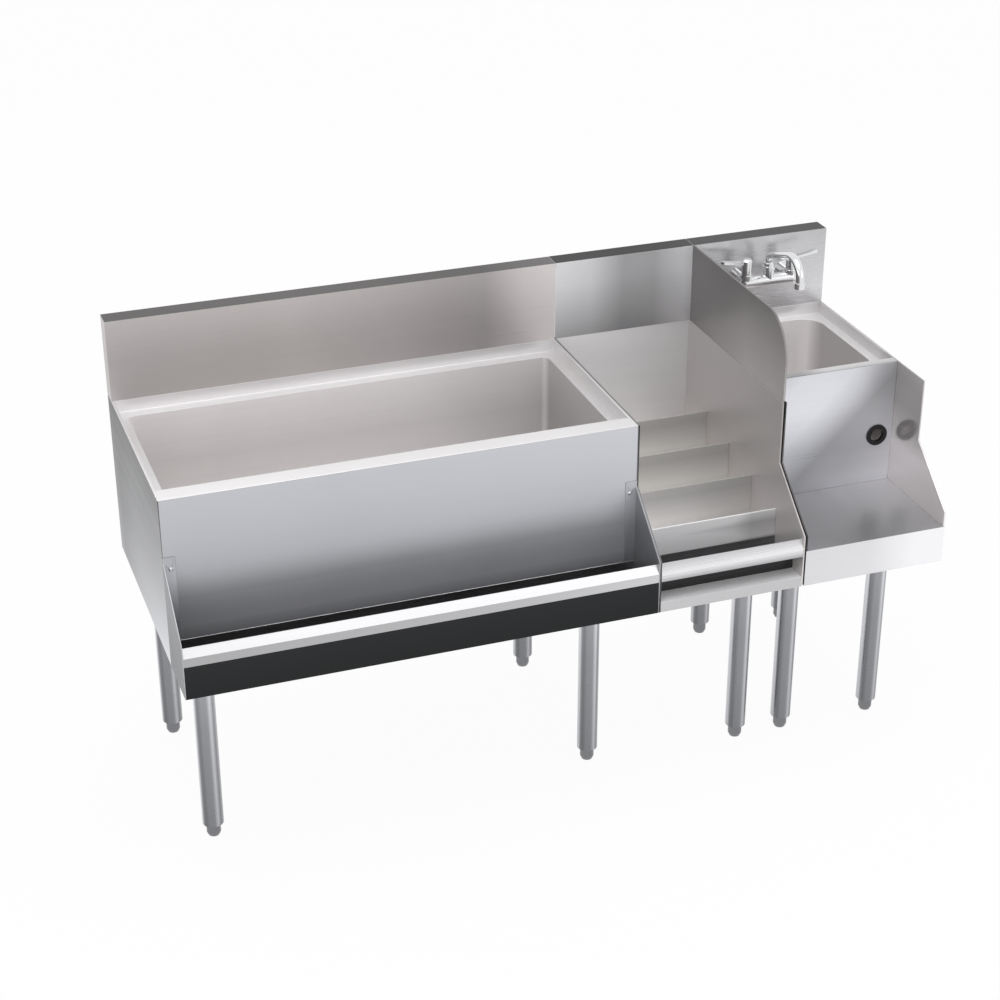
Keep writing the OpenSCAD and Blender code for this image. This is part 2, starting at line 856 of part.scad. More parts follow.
// A rubber ring that grips the edge of the panel's hole
module cord_grommet() {
    lip_t = 3;
    color(black_rubber)
        translate([sink_x1 - grommet_x, sink_front_y - lip_t, base_z + grommet_h])
            rotate([-90, 0, 0])
                difference() {
                    union() {
                        cylinder(h = lip_t, r = grommet_r);
                        cylinder(h = 2 * lip_t + sheet, r = grommet_hole_r);
                        translate([0, 0, lip_t + sheet]) cylinder(h = lip_t, r = grommet_r);
                    }
                    translate([0, 0, -cut])
                        cylinder(h = 2 * lip_t + sheet + 2 * cut, r = grommet_bore_r);
                }
}

// ---- Sink drain: flanged cup, rubber gasket, locknut, tailpiece and a loose strainer ----

module drain_flange() {
    cup_z = bowl_floor_z - drain_cup_h;
    color(bright_chrome)
        difference() {
            union() {
                translate([bowl_mid[0], bowl_mid[1], bowl_floor_z])
                    cylinder(h = drain_flange_t, r = drain_flange_r);
                translate([bowl_mid[0], bowl_mid[1], cup_z])
                    cylinder(h = drain_cup_h, r = drain_cup_r);
                translate([bowl_mid[0], bowl_mid[1], cup_z - outlet_l])
                    cylinder(h = outlet_l, r = outlet_r);
            }
            translate([bowl_mid[0], bowl_mid[1], cup_z + drain_wall])
                cylinder(h = drain_cup_h + drain_flange_t, r = drain_cup_r - drain_wall);
            translate([bowl_mid[0], bowl_mid[1], cup_z - outlet_l - cut])
                cylinder(h = outlet_l + drain_wall + 2 * cut, r = tail_r);
        }
}

// A perforated cup on a flat rim, with a post to lift it by
module drain_strainer() {
    floor_z = bowl_floor_z - strainer_h;
    wall = 1.5;
    hole_r = 2;
    post_r = 3;
    knob_r = 8;
    knob_h = 8;
    rings = [[6, strainer_r * 0.4], [12, strainer_r * 0.7]];
    rim_z = bowl_floor_z + drain_flange_t + clear;
    color(bright_chrome)
        translate([bowl_mid[0], bowl_mid[1], 0])
            difference() {
                union() {
                    translate([0, 0, floor_z]) cylinder(h = rim_z - floor_z, r = strainer_r);
                    translate([0, 0, rim_z]) cylinder(h = wall, r = drain_cup_r + wall);
                }
                difference() {
                    translate([0, 0, floor_z + wall])
                        cylinder(h = drain_cup_h, r = strainer_r - wall);
                    cylinder(h = rim_z, r = post_r);
                    translate([0, 0, rim_z - knob_h]) cylinder(h = knob_h, r = knob_r);
                }
                for (row = rings)
                    for (i = [0:row[0] - 1])
                        rotate(i * 360 / row[0])
                            translate([row[1], 0, floor_z - cut])
                                cylinder(h = wall + 2 * cut, r = hole_r);
            }
}

module drain_gasket() {
    color(black_rubber)
        ring(bowl_mid, bowl_floor_z - sheet - gasket_t, bowl_floor_z - sheet,
             drain_cup_r + locknut_w, drain_hole_r);
}

module drain_locknut() {
    top_z = bowl_floor_z - sheet - gasket_t;
    lugs = 6;
    lug_w = 8;
    lug_l = 5;
    nut_r = drain_cup_r + locknut_w - lug_l + 1;
    color(bright_chrome) {
        ring(bowl_mid, top_z - locknut_t, top_z, nut_r + 1, drain_cup_r);
        for (i = [0:lugs - 1])
            translate([bowl_mid[0], bowl_mid[1], top_z - locknut_t])
                rotate(i * 360 / lugs)
                    translate([nut_r, -lug_w / 2, 0]) cube([lug_l, lug_w, locknut_t]);
    }
}

module drain_tailpiece() {
    top_z = bowl_floor_z - drain_cup_h;
    nut_l = 22;
    nut_wall = 4;
    color(bright_chrome) {
        ring(bowl_mid, top_z - tail_l, top_z, tail_r, tail_r - drain_wall);
        ring(bowl_mid, top_z - outlet_l - nut_l, top_z - outlet_l, outlet_r + nut_wall, tail_r);
    }
}

// ---- Tap: a body on two shanks through the backsplash, two valves, levers, a spout ----

// Runs its children at the hot supply and at the cold supply
module at_supplies() {
    for (side = [-1, 1])
        translate([tap_x + side * supply_spacing / 2, tap_y, tap_z]) children();
}

module tap_body() {
    wall_flange_t = 5;
    hub_r = tap_r - 1;
    color(bright_chrome)
        difference() {
            union() {
                translate([tap_x - supply_spacing / 2, tap_y, tap_z])
                    rotate([0, 90, 0]) cylinder(h = supply_spacing, r = tap_r);
                at_supplies() {
                    sphere(tap_r);
                    cylinder(h = tap_r + 1, r = valve_r);
                    rotate([-90, 0, 0]) {
                        cylinder(h = arm_end, r = arm_r);
                        translate([0, 0, tap_reach - wall_flange_t])
                            cylinder(h = wall_flange_t, r = wall_flange_r);
                        cylinder(h = tap_reach + shank_l, r = shank_r);
                    }
                }
                translate([tap_x, tap_y, tap_z])
                    cylinder(h = spout_nut_z - tap_z, r = hub_r);
            }
            translate([tap_x, tap_y, stem_bottom_z])
                cylinder(h = tap_r * 3, r = spout_r + running_fit);
            translate([tap_x - supply_spacing / 2, tap_y, tap_z])
                rotate([0, 90, 0]) cylinder(h = supply_spacing, r = waterway_r);
            at_supplies()
                rotate([-90, 0, 0]) cylinder(h = tap_reach + shank_l + cut, r = waterway_r);
        }
}

// Bonnets with a bright collar, each carrying the spindle of its handle
module tap_valves() {
    foot = tap_r + 1;
    collar_h = 4;
    collar_w = 2.5;
    color(bright_chrome)
        at_supplies() {
            translate([0, 0, foot]) cylinder(h = collar_h, r = valve_r + collar_w);
            translate([0, 0, foot]) cylinder(h = valve_top_z - tap_z - foot, r = valve_r);
            translate([0, 0, foot])
                cylinder(h = valve_top_z - tap_z - foot + spindle_l, r = spindle_r);
        }
}

// Nuts and washers behind the backsplash
module tap_locknuts() {
    nut_z = arm_end - tap_nut_t;
    color(bright_chrome)
        at_supplies()
            rotate([-90, 0, 0])
                difference() {
                    union() {
                        translate([0, 0, nut_z - tap_washer_t])
                            cylinder(h = tap_washer_t, r = wall_flange_r - 2);
                        translate([0, 0, nut_z])
                            cylinder(h = tap_nut_t, r = wall_flange_r - 4, $fn = 6);
                    }
                    cylinder(h = arm_end + cut, r = arm_r);
                }
}

// A lever handle: a hub on the spindle and a blade that rises a little outwards
module lever_handle(side) {
    blade_w = 9;
    blade_end_w = 13;
    blade_t = 5;
    rise = 9;
    crown_h = 4;
    color(bright_chrome)
        translate([tap_x + side * supply_spacing / 2, tap_y, hub_z])
            difference() {
                union() {
                    cylinder(h = hub_h - crown_h, r = valve_r);
                    translate([0, 0, hub_h - crown_h])
                        cylinder(h = crown_h, r1 = valve_r, r2 = valve_r - crown_h);
                    translate([0, 0, hub_h / 2])
                        rotate([0, side > 0 ? -rise : 180 + rise, 0])
                            translate([0, 0, side > 0 ? 0 : -blade_t])
                                linear_extrude(blade_t) {
                                    polygon([
                                        [0, -blade_w / 2],
                                        [lever_l - blade_end_w / 2, -blade_end_w / 2],
                                        [lever_l - blade_end_w / 2, blade_end_w / 2],
                                        [0, blade_w / 2]
                                    ]);
                                    translate([lever_l - blade_end_w / 2, 0])
                                        circle(blade_end_w / 2);
                                }
                }
                translate([0, 0, -cut])
                    cylinder(h = spindle_l + cut, r = spindle_r + running_fit);
            }
}

module hot_handle() {
    lever_handle(-1);
}

module cold_handle() {
    lever_handle(1);
}

// A straight length of the spout's tube, standing on Z; the bends were drawn a hair thinner
module spout_tube(length) {
    ring([0, 0], -bend_lap, length + bend_lap, spout_r, spout_r - spout_wall);
}

// A bent length of the spout's tube, from the X axis round to an angle
module spout_bend(radius, angle) {
    rotate_extrude(angle = angle)
        translate([radius, 0])
            difference() {
                circle(spout_r - bend_thinning);
                circle(spout_r - spout_wall + bend_thinning);
            }
}

// A bent tube: up out of the body, forward and up, then over and down
module tap_spout() {
    color(bright_chrome)
        translate([tap_x, tap_y, elbow_z])
            rotate([90, 0, -90]) {
                rotate([90, 0, 0]) spout_tube(elbow_z - stem_bottom_z - clear - bend_lap);
                translate([elbow_r, 0, 0])
                    rotate(180 - elbow_turn) spout_bend(elbow_r, elbow_turn);
                translate([run_start[0], run_start[1], 0])
                    rotate([0, 90, spout_rise]) spout_tube(run_x / cos(spout_rise));
                translate([crook_at[0], crook_at[1], 0])
                    spout_bend(crook_r, 90 + spout_rise);
                translate([crook_at[0] + crook_r, crook_at[1], 0])
                    rotate([90, 0, 0]) spout_tube(mouth_l);
            }
}

// A nut with a wider collar at its foot; the spout turns in its bore
module spout_nut() {
    collar_h = 5;
    collar_w = 1.5;
    bore_r = spout_r + running_fit;
    color(bright_chrome) {
        ring([tap_x, tap_y], spout_nut_z, spout_nut_z + spout_nut_h, tap_r - 1, bore_r);
        ring([tap_x, tap_y], spout_nut_z, spout_nut_z + collar_h, tap_r + collar_w, bore_r);
    }
}

// A sleeve on the spout's mouth with a lip under it
module tap_aerator() {
    at = [tap_x, tap_y - spout_reach];
    sleeve_l = 9;
    sleeve_wall = 2;
    lip_t = 3;
    color(bright_chrome) {
        ring(at, mouth_z - lip_t, mouth_z + sleeve_l, spout_r + sleeve_wall, spout_r);
        ring(at, mouth_z - lip_t, mouth_z, spout_r + sleeve_wall, spout_r - lip_t);
    }
}

// ---- Legs: channels and sockets under the cabinet, tubes, and feet that screw in ----

// A channel across a module, open above, that the leg sockets are welded to
module base_channel(x0, x1, y) {
    difference() {
        span([x0, y - channel_w / 2, base_z], [x1, y + channel_w / 2, base_z + channel_h]);
        span([x0 - cut, y - channel_w / 2 + sheet, base_z + sheet],
             [x1 + cut, y + channel_w / 2 - sheet, base_z + channel_h + cut]);
    }
}

module base_channels() {
    color(steel) {
        base_channel(bottle_x0 + side_t, bottle_x1 - side_t, row_leg_y);
        base_channel(sink_x0 + side_t, sink_x1 - side_t, row_leg_y);
        base_channel(sink_x0 + side_t, sink_x1 - side_t, rear_leg_y);
    }
}

module leg_sockets() {
    color(steel)
        for (at = LEGS) {
            ring(at, base_z - socket_flange_t - socket_h, base_z - socket_flange_t,
                 leg_r + socket_fit + socket_wall, leg_r + socket_fit);
            translate([at[0], at[1], base_z - socket_flange_t])
                cylinder(h = socket_flange_t, r = socket_flange_r);
        }
}

// Tubes with a threaded plug in the bottom end
module leg_tubes() {
    color(steel)
        for (at = LEGS) {
            ring(at, foot_h, leg_top_z, leg_r, leg_r - leg_wall);
            ring(at, foot_h, foot_h + plug_h, leg_r, stem_r + running_fit);
        }
}

// A bullet foot on its threaded stem, screwed right in
module bullet_foot(index) {
    at = LEGS[index];
    shoulder_r = 14;
    toe_r = 11;
    toe_h = 7;
    color(steel)
        translate([at[0], at[1], 0]) {
            cylinder(h = toe_h, r1 = toe_r, r2 = shoulder_r);
            translate([0, 0, toe_h]) cylinder(h = foot_h - toe_h - clear, r = shoulder_r);
            translate([0, 0, toe_h]) cylinder(h = foot_h - toe_h + stem_l, r = stem_r);
        }
}

module foot_bin_front_left() {
    bullet_foot(0);
}

module foot_bin_front_right() {
    bullet_foot(1);
}

module foot_bin_rear_left() {
    bullet_foot(2);
}

module foot_bin_rear_right() {
    bullet_foot(3);
}

module foot_bottle_front() {
    bullet_foot(4);
}

module foot_sink_front_left() {
    bullet_foot(5);
}

module foot_sink_front_right() {
    bullet_foot(6);
}

module foot_sink_rear_left() {
    bullet_foot(7);
}

module foot_sink_rear_right() {
    bullet_foot(8);
}

bin_front_panel();
bin_left_side();
bin_right_side();
bin_back_panel();
bin_bottom_panel();
bin_top_rim();
bin_liner();
bin_insulation();
bin_drain();
bin_backsplash();
bottle_backsplash();
sink_backsplash();
rail_trough();
rail_face_strip();
rail_left_end();
rail_right_end();
rail_screws();
bottle_left_side();
bottle_right_side();
bottle_back_panel();
bottle_tray_1();
bottle_tray_2();
bottle_tray_3();
bottle_tray_4();
bottle_rail();
bottle_rail_shelf();
module_screws();
divider_splash();
sink_top();
sink_bowl();
sink_front_panel();
sink_left_side();
sink_right_side();
blender_shelf();
cord_grommet();
drain_flange();
drain_strainer();
drain_gasket();
drain_locknut();
drain_tailpiece();
tap_body();
tap_valves();
tap_locknuts();
hot_handle();
cold_handle();
tap_spout();
spout_nut();
tap_aerator();
base_channels();
leg_sockets();
leg_tubes();
foot_bin_front_left();
foot_bin_front_right();
foot_bin_rear_left();
foot_bin_rear_right();
foot_bottle_front();
foot_sink_front_left();
foot_sink_front_right();
foot_sink_rear_left();
foot_sink_rear_right();
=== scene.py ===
import math

import bmesh
import bpy
from mathutils import Matrix, Vector

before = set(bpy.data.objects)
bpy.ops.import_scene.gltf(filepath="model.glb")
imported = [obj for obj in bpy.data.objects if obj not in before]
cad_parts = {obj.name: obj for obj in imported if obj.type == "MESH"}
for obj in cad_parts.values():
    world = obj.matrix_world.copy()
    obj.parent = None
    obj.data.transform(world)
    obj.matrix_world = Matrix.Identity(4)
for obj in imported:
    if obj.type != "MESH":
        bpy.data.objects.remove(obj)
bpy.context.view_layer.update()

# ---------------------------------------------------------------------------
# The photograph's camera, standing to the left of the ice bin and looking down
# over it. Its place and lens were solved from the station's straight edges.
camera_place = Vector((-1.29899, -3.51394, 2.47324))
camera_turn = math.radians(19.412)
camera_dip = math.radians(27.255)
camera_roll = math.radians(-0.152)
sensor_mm = 36.0
lens_in_sensors = 2.13103

looking = Vector((
    math.sin(camera_turn) * math.cos(camera_dip),
    math.cos(camera_turn) * math.cos(camera_dip),
    -math.sin(camera_dip),
))
level_right = Vector((math.cos(camera_turn), -math.sin(camera_turn), 0))
level_up = level_right.cross(looking)
right = math.cos(camera_roll) * level_right + math.sin(camera_roll) * level_up
up = math.cos(camera_roll) * level_up - math.sin(camera_roll) * level_right
camera_data = bpy.data.cameras.new("camera")
camera_data.lens = sensor_mm * lens_in_sensors
camera_data.sensor_width = sensor_mm
camera = bpy.data.objects.new("camera", camera_data)
turned = Matrix((right, up, -looking)).transposed().to_4x4()
camera.matrix_world = Matrix.Translation(camera_place) @ turned
bpy.context.scene.collection.objects.link(camera)
bpy.context.scene.camera = camera
bpy.context.scene.view_settings.view_transform = "Standard"

# ---------------------------------------------------------------------------
# The studio's walls and ceiling: a plain room that lights the station softly and
# shows camera, glossy and transmitted rays the same white backdrop.
room_tint = (0.96, 0.98, 1.0, 1)
room_strength = 0.8
white = (1, 1, 1, 1)


def feed(tree, socket, source):
    """Feeds a socket from another node's socket, or sets it to a plain value."""
    if isinstance(source, bpy.types.NodeSocket):
        tree.links.new(source, socket)
    else:
        socket.default_value = source


def math_node(tree, operation, a, b):
    """A Math node whose inputs are numbers or sockets; gives its output."""
    node = tree.nodes.new("ShaderNodeMath")
    node.operation = operation
    feed(tree, node.inputs[0], a)
    feed(tree, node.inputs[1], b)
    return node.outputs[0]


def backdrop_rays(tree):
    """1 for the rays that show the backdrop: camera, glossy and transmitted."""
    rays = tree.nodes.new("ShaderNodeLightPath")
    seen = math_node(tree, "MAXIMUM", rays.outputs["Is Camera Ray"], rays.outputs["Is Glossy Ray"])
    return math_node(tree, "MAXIMUM", seen, rays.outputs["Is Transmission Ray"])


def mixed(tree, share, first, second):
    """Mixes two shaders, with the second one's share; gives the mix's output."""
    node = tree.nodes.new("ShaderNodeMixShader")
    for socket, source in zip(node.inputs, (share, first, second)):
        tree.links.new(source, socket)
    return node.outputs[0]


def background(tree, tint, strength):
    """A Background shader; gives its output."""
    node = tree.nodes.new("ShaderNodeBackground")
    node.inputs["Color"].default_value = tint
    node.inputs["Strength"].default_value = strength
    return node.outputs[0]


room = bpy.data.worlds.new("room")
bpy.context.scene.world = room
room.use_nodes = True
room_tree = room.node_tree
room_tree.nodes.clear()
room_light = background(room_tree, room_tint, room_strength)
room_white = background(room_tree, white, 1.0)
room_out = room_tree.nodes.new("ShaderNodeOutputWorld")
room_mix = mixed(room_tree, backdrop_rays(room_tree), room_light, room_white)
room_tree.links.new(room_mix, room_out.inputs["Surface"])

# ---------------------------------------------------------------------------
# The studio's lamps: a wide soft box over the station and a smaller one to each
# side of the camera. Places and sizes are in metres, power in watts.


def soft_box(name, place, target, width, height, power):
    """A rectangular lamp that faces its target."""
    data = bpy.data.lights.new(name, "AREA")
    data.shape = "RECTANGLE"
    data.size = width
    data.size_y = height
    data.energy = power
    lamp = bpy.data.objects.new(name, data)
    lamp.location = place
    lamp.rotation_euler = (Vector(target) - Vector(place)).to_track_quat("-Z", "Y").to_euler()
    bpy.context.scene.collection.objects.link(lamp)


soft_box("overhead_box", place=(-0.2, -0.6, 3.2), target=(0, 0, 0.6), width=3.0, height=2.2, power=30)
soft_box("left_box", place=(-3.4, -2.2, 2.0), target=(-0.2, 0, 0.6), width=2.0, height=2.0, power=16)
soft_box("right_box", place=(3.0, -2.6, 1.8), target=(0.4, 0, 0.6), width=1.6, height=2.0, power=10)

# ---------------------------------------------------------------------------
# The studio's floor: a pale painted sheet just under the feet. It glows for the same
# rays as the backdrop does, and keeps only a faint shadow of the station.
floor_half = 14.0
floor_drop = 0.0005
floor_roughness = 0.9
floor_gloss = 0.1
floor_mottle = 0.6
floor_pale = (0.90, 0.90, 0.90, 1)
floor_paler = (0.93, 0.93, 0.93, 1)
glow_share = 0.95


def new_material(name):
    """A material with nodes; gives it, its node tree and its Principled shader."""
    material = bpy.data.materials.new(name)
    material.use_nodes = True
    return material, material.node_tree, material.node_tree.nodes["Principled BSDF"]


floor_build = bmesh.new()
for across, away in ((-1, -1), (1, -1), (1, 1), (-1, 1)):
    floor_build.verts.new((across * floor_half, away * floor_half, -floor_drop))
floor_build.faces.new(floor_build.verts)
floor_mesh = bpy.data.meshes.new("studio_floor")
floor_build.to_mesh(floor_mesh)
floor_build.free()
studio_floor = bpy.data.objects.new("studio_floor", floor_mesh)
bpy.context.scene.collection.objects.link(studio_floor)

floor_paint, floor_tree, floor_shader = new_material("floor_paint")
floor_shader.inputs["Roughness"].default_value = floor_roughness
floor_shader.inputs["Specular IOR Level"].default_value = floor_gloss
mottle = floor_tree.nodes.new("ShaderNodeTexNoise")
mottle.inputs["Scale"].default_value = floor_mottle
mottle_ramp = floor_tree.nodes.new("ShaderNodeValToRGB")
mottle_ramp.color_ramp.elements[0].color = floor_pale
mottle_ramp.color_ramp.elements[1].color = floor_paler
floor_tree.links.new(mottle.outputs["Fac"], mottle_ramp.inputs["Fac"])
floor_tree.links.new(mottle_ramp.outputs["Color"], floor_shader.inputs["Base Color"])
glow = floor_tree.nodes.new("ShaderNodeEmission")
glow.inputs["Color"].default_value = white
glow_rays = math_node(floor_tree, "MULTIPLY", backdrop_rays(floor_tree), glow_share)
floor_mix = mixed(floor_tree, glow_rays, floor_shader.outputs[0], glow.outputs[0])
floor_tree.links.new(floor_mix, floor_tree.nodes["Material Output"].inputs["Surface"])
floor_mesh.materials.append(floor_paint)

# ---------------------------------------------------------------------------
# The ice bin's shell: sheets of 1.5 mm stainless steel, brushed before they were
# folded, spot-welded at the corners and filled with foam behind the liner.


def new_group(name, ins, outs):
    """A shader node group with named sockets; ins are (name, kind, default)."""
    group = bpy.data.node_groups.new(name, "ShaderNodeTree")
    for socket_name, kind, start in ins:
        socket = group.interface.new_socket(socket_name, in_out="INPUT", socket_type=kind)
        socket.default_value = start
    for socket_name, kind in outs:
        group.interface.new_socket(socket_name, in_out="OUTPUT", socket_type=kind)
    return group, group.nodes.new("NodeGroupInput"), group.nodes.new("NodeGroupOutput")


def place_group(tree, group, **values):
    """Places a node group in a material, with its own values by input name."""
    node = tree.nodes.new("ShaderNodeGroup")
    node.node_tree = group
    for name, value in values.items():
        node.inputs[name].default_value = value
    return node


def scaled(tree, vector, factor):
    """A vector or colour multiplied by a number; gives the result's socket."""
    node = tree.nodes.new("ShaderNodeVectorMath")
    node.operation = "SCALE"
    feed(tree, node.inputs[0], vector)
    feed(tree, node.inputs["Scale"], factor)
    return node.outputs[0]


def noise(tree, place, repeats, detail, distortion=0.0):
    """Cloudy noise read at a place; gives its grey, which is 0.5 on average."""
    node = tree.nodes.new("ShaderNodeTexNoise")
    feed(tree, node.inputs["Vector"], place)
    feed(tree, node.inputs["Scale"], repeats)
    node.inputs["Detail"].default_value = detail
    node.inputs["Distortion"].default_value = distortion
    return node.outputs["Fac"]


# Brushed grain: long fine scratches with broader streaks among them. Grain holds how
# often the noise repeats in a metre along each axis, few times along the scratches
# and many times across them.
lengthwise, crosswise = 3.0, 900.0
along_row = (lengthwise, crosswise, crosswise)
along_depth = (crosswise, lengthwise, crosswise)
along_height = (crosswise, crosswise, lengthwise)
fine_detail = 3.0
broad_detail = 2.0
broad_repeats = 0.2
grain_gloss_change = 0.12
grain_group, grain_in, grain_out = new_group(
    "brushed_grain",
    [("Grain", "NodeSocketVector", along_row), ("Streak", "NodeSocketFloat", 0.04)],
    [("Tone", "NodeSocketFloat"), ("Roughness", "NodeSocketFloat"), ("Height", "NodeSocketFloat")],
)
grain_place = grain_group.nodes.new("ShaderNodeTexCoord")
grain_scale = grain_group.nodes.new("ShaderNodeVectorMath")
grain_scale.operation = "MULTIPLY"
grain_group.links.new(grain_place.outputs["Object"], grain_scale.inputs[0])
grain_group.links.new(grain_in.outputs["Grain"], grain_scale.inputs[1])
grain_at = grain_scale.outputs[0]
fine = noise(grain_group, grain_at, 1.0, fine_detail)
broad = noise(grain_group, scaled(grain_group, grain_at, broad_repeats), 1.0, broad_detail)
centred = math_node(grain_group, "SUBTRACT", math_node(grain_group, "ADD", fine, broad), 1.0)
streaks = math_node(grain_group, "MULTIPLY", centred, grain_in.outputs["Streak"])
grain_rough = math_node(grain_group, "MULTIPLY", centred, grain_gloss_change)
grain_group.links.new(math_node(grain_group, "ADD", streaks, 1.0), grain_out.inputs["Tone"])
grain_group.links.new(grain_rough, grain_out.inputs["Roughness"])
grain_group.links.new(fine, grain_out.inputs["Height"])

# Wipe marks: slow cloudy changes of tone and gloss, as steel has after a cloth.
wipe_detail = 4.0
wipe_distortion = 0.6
wipe_gloss_change = 0.1
wipe_group, wipe_in, wipe_out = new_group(
    "wipe_marks",
    [("Scale", "NodeSocketFloat", 3.0), ("Amount", "NodeSocketFloat", 0.05)],
    [("Tone", "NodeSocketFloat"), ("Roughness", "NodeSocketFloat")],
)
wipe_place = wipe_group.nodes.new("ShaderNodeTexCoord").outputs["Object"]
clouds = noise(wipe_group, wipe_place, wipe_in.outputs["Scale"], wipe_detail, wipe_distortion)
wipe_centred = math_node(wipe_group, "SUBTRACT", clouds, 0.5)
wipe_tone = math_node(wipe_group, "MULTIPLY", wipe_centred, wipe_in.outputs["Amount"])
wipe_rough = math_node(wipe_group, "MULTIPLY", wipe_centred, wipe_gloss_change)
wipe_group.links.new(math_node(wipe_group, "ADD", wipe_tone, 1.0), wipe_out.inputs["Tone"])
wipe_group.links.new(wipe_rough, wipe_out.inputs["Roughness"])

# Painted light sweep: how far a point, or the way its surface faces, lies along a direction, which sets
# where painted light, shade and reflections fall on a sheet.
# The Mix node holds a socket of each data type; its vectors are the fifth and sixth.
painted_light_group, sweep_in, sweep_out = new_group(
    "painted_light_sweep",
    [("Direction", "NodeSocketVector", (0.0, 0.0, 1.0)), ("By Facing", "NodeSocketFloat", 0.0),
     ("From", "NodeSocketFloat", 0.0), ("To", "NodeSocketFloat", 1.0)],
    [("Along", "NodeSocketFloat")],
)
sweep_place = painted_light_group.nodes.new("ShaderNodeTexCoord")
sweep_facing = painted_light_group.nodes.new("ShaderNodeNewGeometry")
sweep_pick = painted_light_group.nodes.new("ShaderNodeMix")
sweep_pick.data_type = "VECTOR"
painted_light_group.links.new(sweep_in.outputs["By Facing"], sweep_pick.inputs["Factor"])
painted_light_group.links.new(sweep_place.outputs["Object"], sweep_pick.inputs[4])
painted_light_group.links.new(sweep_facing.outputs["Normal"], sweep_pick.inputs[5])
sweep_dot = painted_light_group.nodes.new("ShaderNodeVectorMath")
sweep_dot.operation = "DOT_PRODUCT"
painted_light_group.links.new(sweep_pick.outputs[1], sweep_dot.inputs[0])
painted_light_group.links.new(sweep_in.outputs["Direction"], sweep_dot.inputs[1])
sweep_range = painted_light_group.nodes.new("ShaderNodeMapRange")
painted_light_group.links.new(sweep_dot.outputs["Value"], sweep_range.inputs["Value"])
painted_light_group.links.new(sweep_in.outputs["From"], sweep_range.inputs["From Min"])
painted_light_group.links.new(sweep_in.outputs["To"], sweep_range.inputs["From Max"])
painted_light_group.links.new(sweep_range.outputs["Result"], sweep_out.inputs["Along"])

east, north, top = (1, 0, 0), (0, 1, 0), (0, 0, 1)
by_place = 0.0
by_facing = 1.0
steel_grey = 200
most_reflected = 0.95
scratch_strength = 0.03
scratch_depth = 0.0002


def linear(level):
    """A level from 0 to 255 as a screen shows it, made linear."""
    share = level / 255
    return share / 12.92 if share <= 0.04045 else ((share + 0.055) / 1.055) ** 2.4


brightest = most_reflected / linear(steel_grey)


def sheet_steel(name, grain, tint, roughness, painted_sweeps, metal=1.0, streak=0.05, wipe=0.12,
                gloss=0.5):
    """Brushed stainless steel with painted light. Each painted sweep is (by place or by facing,
    direction, stops), and its stops are (how far along the direction, painted level of
    light, shade and reflection on the steel there): metres by place, and by facing 1
    towards the direction and -1 away from it. Metal is below 1 where a sheet is dulled
    by fine scratches, as the insides of bins are."""
    steel, tree, shader = new_material(name)
    shader.inputs["Metallic"].default_value = metal
    shader.inputs["Specular IOR Level"].default_value = gloss
    grain_node = place_group(tree, grain_group, Grain=grain, Streak=streak)
    wipe_node = place_group(tree, wipe_group, Amount=wipe)
    tone = math_node(tree, "MULTIPLY", grain_node.outputs["Tone"], wipe_node.outputs["Tone"])
    # Each sweep multiplies painted light, shade and reflections into the steel's colour.
    for facing, direction, stops in painted_sweeps:
        low, high = stops[0][0], stops[-1][0]
        sweep = place_group(tree, painted_light_group, Direction=direction, From=low, To=high)
        sweep.inputs["By Facing"].default_value = facing
        ramp = tree.nodes.new("ShaderNodeValToRGB")
        tree.links.new(sweep.outputs["Along"], ramp.inputs["Fac"])
        marks = ramp.color_ramp.elements
        while len(marks) < len(stops):
            marks.new(0.5)
        for mark, (at, level) in zip(marks, stops):
            mark.position = (at - low) / (high - low)
            mark.color = (*[linear(level) / linear(steel_grey)] * 3, 1)
        tone = math_node(tree, "MULTIPLY", tone, ramp.outputs["Color"])
    steel_tint = [linear(steel_grey) * share for share in tint]
    tinted = scaled(tree, steel_tint, math_node(tree, "MINIMUM", tone, brightest))
    tree.links.new(tinted, shader.inputs["Base Color"])
    rough = math_node(tree, "ADD", grain_node.outputs["Roughness"], wipe_node.outputs["Roughness"])
    tree.links.new(math_node(tree, "ADD", rough, roughness), shader.inputs["Roughness"])
    bump = tree.nodes.new("ShaderNodeBump")
    bump.inputs["Strength"].default_value = scratch_strength
    bump.inputs["Distance"].default_value = scratch_depth
    tree.links.new(grain_node.outputs["Height"], bump.inputs["Height"])
    tree.links.new(bump.outputs["Normal"], shader.inputs["Normal"])
    return steel


def finish_nodes(material, *names):
    """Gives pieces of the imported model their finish."""
    for name in names:
        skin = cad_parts[name].data
        skin.materials.clear()
        skin.materials.append(material)


fold_radius = 0.0007
fold_steps = 3
least_fold = math.radians(50)
weld_gap = 0.00001


def fold(*names):
    """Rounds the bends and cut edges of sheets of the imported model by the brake's radius."""
    for name in names:
        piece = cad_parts[name]
        piece.modifiers.new("joined_edges", "WELD").merge_threshold = weld_gap
        bend = piece.modifiers.new("bend", "BEVEL")
        bend.width = fold_radius
        bend.segments = fold_steps
        bend.limit_method = "ANGLE"
        bend.angle_limit = least_fold


def reach(name, direction):
    """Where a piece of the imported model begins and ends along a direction, in metres."""
    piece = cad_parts[name]
    along = [Vector(direction).dot(piece.matrix_world @ point.co) for point in piece.data.vertices]
    return min(along), max(along)


# Polished sheets mirror a studio that isn't rebuilt here, so their light, shade and
# reflections are painted into their colour: the levels in the stops are painted
# reflections and painted shade, and were fitted until the render had the photograph's tones.
cool = (0.98, 0.986, 1.038)
bin_left, bin_right = reach("bin_front_panel", east)
cabinet_front = reach("bin_front_panel", north)[0]
base = reach("bin_front_panel", top)[0]
deck = reach("bin_top_rim", top)[1]
back = reach("bin_back_panel", north)[1]
